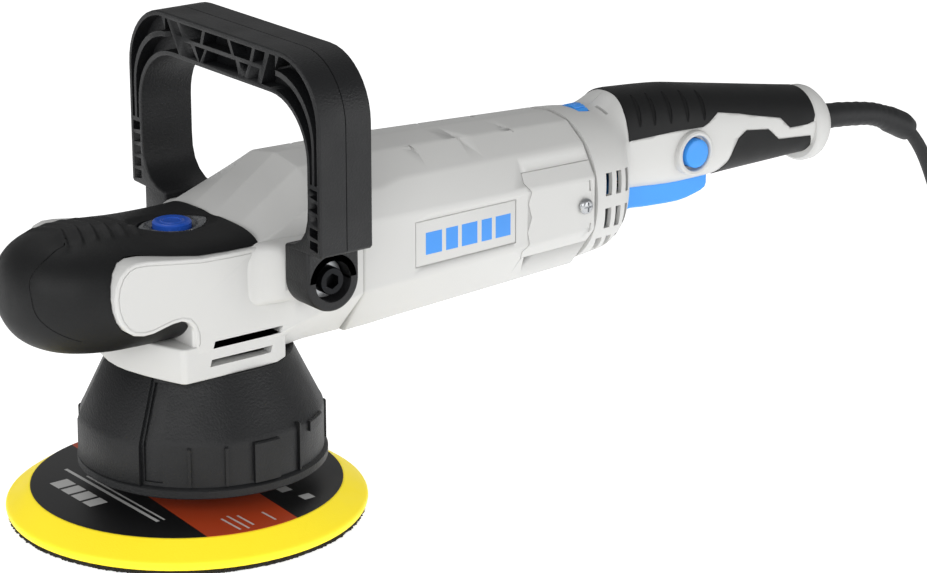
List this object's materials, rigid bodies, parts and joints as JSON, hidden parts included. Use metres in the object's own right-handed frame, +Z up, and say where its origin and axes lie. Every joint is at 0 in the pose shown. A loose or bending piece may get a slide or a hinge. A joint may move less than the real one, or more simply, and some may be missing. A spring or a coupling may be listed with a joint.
{
  "type": "dual action polisher",
  "caption": "Corded dual action polisher with an eccentric hook-faced pad under a flared shroud, a bail handle over its gear head and a slim rear grip with trigger.",
  "frame": {"origin": "on the main spindle's axis, in the plane of the pad's hook face", "axes": "+X back along the motor towards the cord, +Z up along the spindle; the lock-on button is on the -Y side"},
  "size_m": [0.6366, 0.1718, 0.2],
  "materials": {
    "hook_nylon": "short stiff hooks",
    "pad_foam": "moulded polyurethane, satin",
    "printed_label": "printed film with an orange band",
    "black_nylon": "glass-filled nylon",
    "bright_steel": "ground or turned",
    "cast_iron": "as cast, machined faces",
    "black_steel": "black oxide",
    "cast_aluminium": "die-cast",
    "black_moulding": "fine spark texture",
    "grey_casing": "satin moulded",
    "soft_grip": "soft overmould, grained",
    "blue_plastic": "satin moulded",
    "lamination_steel": "stacked sheets",
    "enamelled_copper": "varnished",
    "copper": "turned",
    "brass": "folded sheet",
    "carbon": "pressed graphite",
    "circuit_board": "green solder mask",
    "cord_rubber": "rubber sheath"
  },
  "bodies": {
    "housing": {"lower_spindle_bearing": "bright_steel", "upper_spindle_bearing": "bright_steel", "gear_flange": "cast_aluminium", "flange_screws": "black_steel", "shroud": "black_moulding", "gear_head": "grey_casing", "head_grip": "soft_grip", "lock_bezel": "grey_casing", "lock_spring": "bright_steel", "bearing_plate": "cast_aluminium", "bail_bolts": "black_steel", "bail_washers": "bright_steel", "front_bearing": "bright_steel", "rear_bearing": "bright_steel", "stator_core": "lamination_steel", "field_coils": "enamelled_copper", "air_baffle": "black_nylon", "brush_holders": "brass", "carbon_brushes": "carbon", "brush_springs": "bright_steel", "motor_housing": "grey_casing", "badge_plates": "grey_casing", "brush_covers": "grey_casing", "cover_screws": "bright_steel", "rear_shell_left": "grey_casing", "rear_shell_right": "grey_casing", "grip_top": "soft_grip", "grip_insert": "soft_grip", "trigger_pin": "bright_steel", "switch_body": "black_nylon", "speed_board": "circuit_board", "cord_clamp": "black_nylon", "shell_screws": "black_steel", "strain_relief": "cord_rubber", "cord_run": "cord_rubber", "cord_coil": "cord_rubber", "plug_body": "cord_rubber", "plug_pins": "bright_steel"},
    "spindle": {"eccentric": "bright_steel", "counterweight": "cast_iron", "counterweight_screws": "black_steel", "crown_gear": "bright_steel", "pad_bearings": "bright_steel"},
    "pad": {"pad_hook_face": "hook_nylon", "pad_foam": "pad_foam", "pad_plate": "black_nylon", "pad_label": "printed_label", "pad_stud": "bright_steel", "pad_spindle": "bright_steel"},
    "armature": {"pinion": "bright_steel", "armature_shaft": "bright_steel", "armature_core": "lamination_steel", "armature_windings": "enamelled_copper", "commutator": "copper", "cooling_fan": "black_nylon"},
    "bail": {"bail_handle": "black_moulding"},
    "trigger": {"trigger": "blue_plastic"},
    "lock_on": {"lock_on_button": "blue_plastic"},
    "spindle_lock": {"spindle_lock_button": "blue_plastic"},
    "dial": {"speed_dial": "blue_plastic"}
  },
  "joints": [
    {"name": "spindle_spin", "type": "hinge", "parent": "housing", "child": "spindle", "pos_m": [0, 0, 0.06], "axis": [0, 0, 1], "continuous": true},
    {"name": "pad_spin", "type": "hinge", "parent": "spindle", "child": "pad", "pos_m": [-0.00739, 0.0013, 0.02], "axis": [0, 0, 1], "continuous": true},
    {"name": "motor_spin", "type": "hinge", "parent": "housing", "child": "armature", "pos_m": [0.1, 0, 0.106], "axis": [1, 0, 0], "continuous": true},
    {"name": "bail_tilt", "type": "hinge", "parent": "housing", "child": "bail", "pos_m": [0.025, 0, 0.1075], "axis": [0, 1, 0], "range_deg": [-40, 40]},
    {"name": "trigger_pull", "type": "hinge", "parent": "housing", "child": "trigger", "pos_m": [0.214, 0, 0.102], "axis": [0, -1, 0], "range_deg": [0, 6], "stiffness_Nm_per_rad": 1.5, "springref_deg": -8.59},
    {"name": "lock_on_press", "type": "slide", "parent": "housing", "child": "lock_on", "axis": [0, 1, 0], "range_m": [0, 0.003], "stiffness_N_per_m": 400, "springref_m": -0.001},
    {"name": "spindle_lock_press", "type": "slide", "parent": "housing", "child": "spindle_lock", "axis": [0, 0, -1], "range_m": [0, 0.004], "stiffness_N_per_m": 500, "springref_m": -0.001, "deforming": ["lock_spring"]},
    {"name": "dial_turn", "type": "hinge", "parent": "housing", "child": "dial", "pos_m": [0.1972, 0, 0.129], "axis": [1, 0, 0], "range_deg": [0, 270]}
  ],
  "couplings": [
    {"joint": "motor_spin", "follows": "spindle_spin", "ratio": 3.6}
  ]
}
